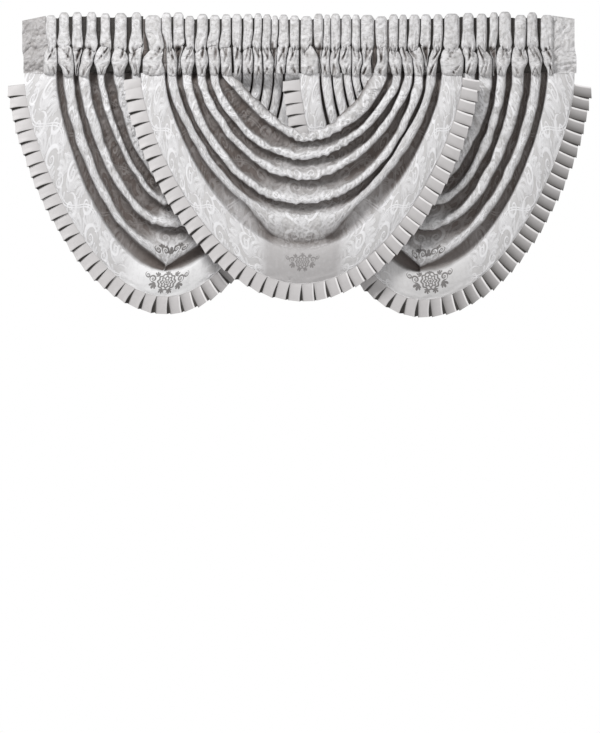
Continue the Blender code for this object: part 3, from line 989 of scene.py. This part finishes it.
damaskFinish = {
    "gatheredFigure": 0.5,  # how strong the figure is on the gathers
    "plainAcross": (0.10, 0.17),  # metres from the middle between which a band turns woven
    "plainUp": (0.125, 0.15),  # and metres above its hem
    "creasedUp": (0.09, 0.14),  # metres above the hem between which the cloth turns creased
    "bandCrease": 0.2,  # how creased the band is beside the folds
    "cloud": (18.0, 3.0),  # noises: scale and detail
    "flecks": (105.0, 2.0),
    "crinkle": (70.0, 2.5),
    "darkFlecks": (0.48, 0.36, 0.42),  # noise at which they begin and are full, and strength
    "brightFlecks": (0.52, 0.64, 0.3),
    "deepFigure": 0.22,  # how much of the figure shows through the painted shade inside the folds
    "roughness": (-0.10, 0.62),  # change on the figure, and the ground's
    "thread": 0.0011,
    "weaveBump": (0.00015, 0.5),  # bumps: height and strength
    "figureBump": (0.0009, 0.8),
    "crinkleBump": (0.0052, 0.85),
    "surface": {"Specular IOR Level": 0.35, "Sheen Weight": 0.12, "Sheen Roughness": 0.4},
}


def finishCloth(tree, finish, colour, normal):
    shader = tree.nodes["Principled BSDF"]
    tree.links.new(colour, shader.inputs["Base Color"])
    tree.links.new(normal, shader.inputs["Normal"])
    for socket, value in finish["surface"].items():
        shader.inputs[socket].default_value = value
    return shader


def damaskMaterial(name, motif=None, lip=0.0):
    finish = damaskFinish
    material, tree, uv, u, v, shade = clothMaterial(name)
    figure = damaskFigure(uv, u, v)
    ground = clothColours["ground"]
    worked = 1.0
    if motif is None:
        figure = addMath("*", figure, finish["gatheredFigure"])
    else:
        # the band is plain on both sides of the rosette, and hardly creased
        clearSide = addStep(addMath("ABSOLUTE", u), *finish["plainAcross"])
        woven = largest(clearSide, addStep(v, *finish["plainUp"]))
        figure = addMath("*", figure, woven)
        # the band's colour beside the rosette carries each swag's painted light and sheen
        ground = addMix(woven, motif["plainWithPaintedLight"], ground)
        worked = addMath("*+", addStep(v, *finish["creasedUp"]), 1.0 - finish["bandCrease"],
                         finish["bandCrease"])
    cloud = addNoise(uv, *finish["cloud"])
    figureAmount = addMath("*", figure, addMath("*+", cloud, 0.9, 0.45))
    colour = addMix(figureAmount, ground, clothColours["figure"])
    # random light and dark flecks on creased cloth, painted shade and highlight standing in for fine
    # crumples
    flecks = addNoise(uv, *finish["flecks"])
    for kind, tone in (("darkFlecks", "fleck"), ("brightFlecks", "figure")):
        none, full, strength = finish[kind]
        amount = addMath("*", addStep(flecks, none, full), worked)
        colour = addMix(addMath("*", amount, strength), colour, clothColours[tone])
    if motif is not None:
        rosette = motifMask(u, v, motif["height"], motif["size"], rosetteRings, rosetteScrolls,
                            rosetteFans)
        crest = motifMask(u, v, lip + motif["crestRise"], 1.0, rosetteRings[3:], crestScrolls,
                          crestFans)
        dark = largest(addMath("*", rosette, motif["strength"]),
                       addMath("*", crest, motif["crestStrength"]))
        colour = addMix(dark, colour, clothColours["rosette"])
    # painted shade: towards the deep colour as the shade attribute rises to 1, inside the folds, then a
    # darker one up to 1.6, between gathers
    deepFigure = addMath("*", figureAmount, finish["deepFigure"])
    deep = addMix(deepFigure, clothColours["deep"], clothColours["ground"])
    colour = addMix(addStep(shade, 0.0, 1.0), colour, deep)
    colour = addMix(addStep(shade, 1.0, 1.6), colour, clothColours["deepestPaintedShade"])
    normal = addBump(addWeave(u, v, finish["thread"]), *finish["weaveBump"])
    normal = addBump(figure, *finish["figureBump"], normal)
    crinkle = addMath("*", addNoise(uv, *finish["crinkle"]), worked)
    normal = addBump(crinkle, *finish["crinkleBump"], normal)
    shader = finishCloth(tree, finish, colour, normal)
    tree.links.new(addMath("*+", figure, *finish["roughness"]), shader.inputs["Roughness"])
    return material


satinFinish = {
    "cloud": (40.0, 3.0),
    "cloudTones": (0.92, 1.06),
    "brightShades": (0.1, 0.7),  # a shade below zero is a painted highlight, from the first to the second
    "deepShades": (0.05, 0.9),  # and one above zero is painted shade
    "thread": 0.0008,
    "weaveBump": (0.0001, 0.4),
    "creases": (60.0, 2.0),
    "creaseBump": (0.0014, 0.4),
    "surface": {"Roughness": 0.44, "Sheen Weight": 0.1},
}


def satinMaterial(name):
    finish = satinFinish
    material, tree, uv, u, v, shade = clothMaterial(name)
    tones = [tuple(tone * part for part in clothColours["satin"]) for tone in finish["cloudTones"]]
    colour = addMix(addNoise(uv, *finish["cloud"]), *tones)
    # painted highlight and painted shade from the shade attribute
    bright = addStep(addMath("*", shade, -1.0), *finish["brightShades"])
    colour = addMix(bright, colour, clothColours["satinPaintedHighlight"])
    colour = addMix(addStep(shade, *finish["deepShades"]), colour, clothColours["satinPaintedShade"])
    normal = addBump(addWeave(u, v, finish["thread"]), *finish["weaveBump"])
    normal = addBump(addNoise(uv, *finish["creases"]), *finish["creaseBump"], normal)
    finishCloth(tree, finish, colour, normal)
    return material


# Pieces

# The rosette's height above the hem, its size and strength, the band's colour around it, which
# carries painted light and sheen, lighter on the left swag and darker on the centre one, and the
# crest's height above the lowest lip and its strength
motifs = {
    "left": {"height": 0.047, "size": 0.95, "strength": 0.78, "plainWithPaintedLight": (0.79, 0.785, 0.79),
             "crestRise": 0.016, "crestStrength": 0.85},
    "centre": {"height": 0.068, "size": 0.72, "strength": 0.55, "plainWithPaintedLight": (0.445, 0.43, 0.43),
               "crestRise": -0.028, "crestStrength": 0.3},
    "right": {"height": 0.057, "size": 1.0, "strength": 0.78, "plainWithPaintedLight": (0.65, 0.64, 0.64),
              "crestRise": 0.010, "crestStrength": 0.8},
}


def settle(piece, node):
    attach(piece, "root")
    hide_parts(node)


satin = satinMaterial("grey satin")
plainDamask = damaskMaterial("silver damask")
seams = {}
for swagName, swag in swags.items():
    points, uv, shade = swagPoints(swag)
    lip = uv[swagSettings["lipRow"], 0, 1] * mm
    damask = damaskMaterial("silver damask " + swagName, motifs[swagName], lip)
    piece = sheetFromGrid("visual_swag_" + swagName, points, uv, shade, damask,
                          swagSettings["thickness"])
    settle(piece, "swag_" + swagName)
    seams[swagName] = (points[:, 0], points[:, -1])
    rufflePlaces, ruffleUv, ruffleShade = rufflePoints(
        points[0], swag["ruffleStarts"], swag["ruffleShade"], swag["seed"])
    ruffle = sheetFromGrid("visual_ruffle_" + swagName, rufflePlaces, ruffleUv, ruffleShade, satin,
                           ruffleSettings["thickness"])
    settle(ruffle, "ruffle_" + swagName)
    print("swag and ruffle hung:", swagName)

for number, (headingName, heading) in enumerate(headings.items()):
    seam = seams[heading["swag"]][heading["side"]]
    points, uv, shade = headingPoints(heading, seam, 50 + number)
    piece = sheetFromGrid("visual_" + headingName, points, uv, shade, plainDamask,
                          headingSettings["thickness"], closed=True)
    settle(piece, headingName)
    print("gathered:", headingName)


# Floor, lights and camera

studio = {
    "pixel": 0.0031,
    "imageHeight": 733,
    "rodRow": 61.0,  # image row of the rod's axis
    "cameraDistance": 4.0,
    "floor": -2.15,
    "floorSize": 12.0,
    "worldStrength": 0.40,
    "lightsAim": (0.0, 0.0, -0.3),
    # place, size and power
    "lights": {"key": ((-1.8, -2.9, 2.4), 1.5, 150.0), "fill": ((1.6, -3.8, 0.2), 2.2, 27.0)},
}
bpy.ops.mesh.primitive_plane_add(size=studio["floorSize"], location=(0.0, 0.0, studio["floor"]))
floor = bpy.context.object
floor.name = "floor"
floorMaterial = bpy.data.materials.new("pale floor")
floorMaterial.use_nodes = True
floorMaterial.node_tree.nodes["Principled BSDF"].inputs["Base Color"].default_value = (0.8, 0.8, 0.8, 1)
floor.data.materials.append(floorMaterial)

for name, (place, size, power) in studio["lights"].items():
    light = bpy.data.lights.new(name, "AREA")
    light.shape = "DISK"
    light.size = size
    light.energy = power
    lamp = bpy.data.objects.new(name, light)
    bpy.context.scene.collection.objects.link(lamp)
    lamp.location = place
    aim = Vector(studio["lightsAim"]) - Vector(place)
    lamp.rotation_euler = aim.to_track_quat("-Z", "Y").to_euler()

world = bpy.data.worlds.new("studio")
bpy.context.scene.world = world
world.use_nodes = True
worldTree = world.node_tree
background = worldTree.nodes["Background"]
backdrop = worldTree.nodes.new("ShaderNodeBackground")
for node, strength in ((background, studio["worldStrength"]), (backdrop, 1.0)):
    node.inputs["Color"].default_value = (1.0, 1.0, 1.0, 1.0)
    node.inputs["Strength"].default_value = strength
rays = worldTree.nodes.new("ShaderNodeLightPath")
choose = worldTree.nodes.new("ShaderNodeMixShader")
worldTree.links.new(rays.outputs["Is Camera Ray"], choose.inputs["Fac"])
worldTree.links.new(background.outputs[0], choose.inputs[1])
worldTree.links.new(backdrop.outputs[0], choose.inputs[2])
worldTree.links.new(choose.outputs[0], worldTree.nodes["World Output"].inputs["Surface"])

cameraData = bpy.data.cameras.new("camera")
cameraData.type = "ORTHO"
cameraData.ortho_scale = studio["imageHeight"] * studio["pixel"]
camera = bpy.data.objects.new("camera", cameraData)
bpy.context.scene.collection.objects.link(camera)
middleRow = studio["imageHeight"] / 2.0
camera.location = (0.0, -studio["cameraDistance"], (studio["rodRow"] - middleRow) * studio["pixel"])
camera.rotation_euler = (math.pi / 2.0, 0.0, 0.0)
bpy.context.scene.camera = camera
bpy.context.scene.view_settings.view_transform = "Standard"
print("floor, lights and camera set")
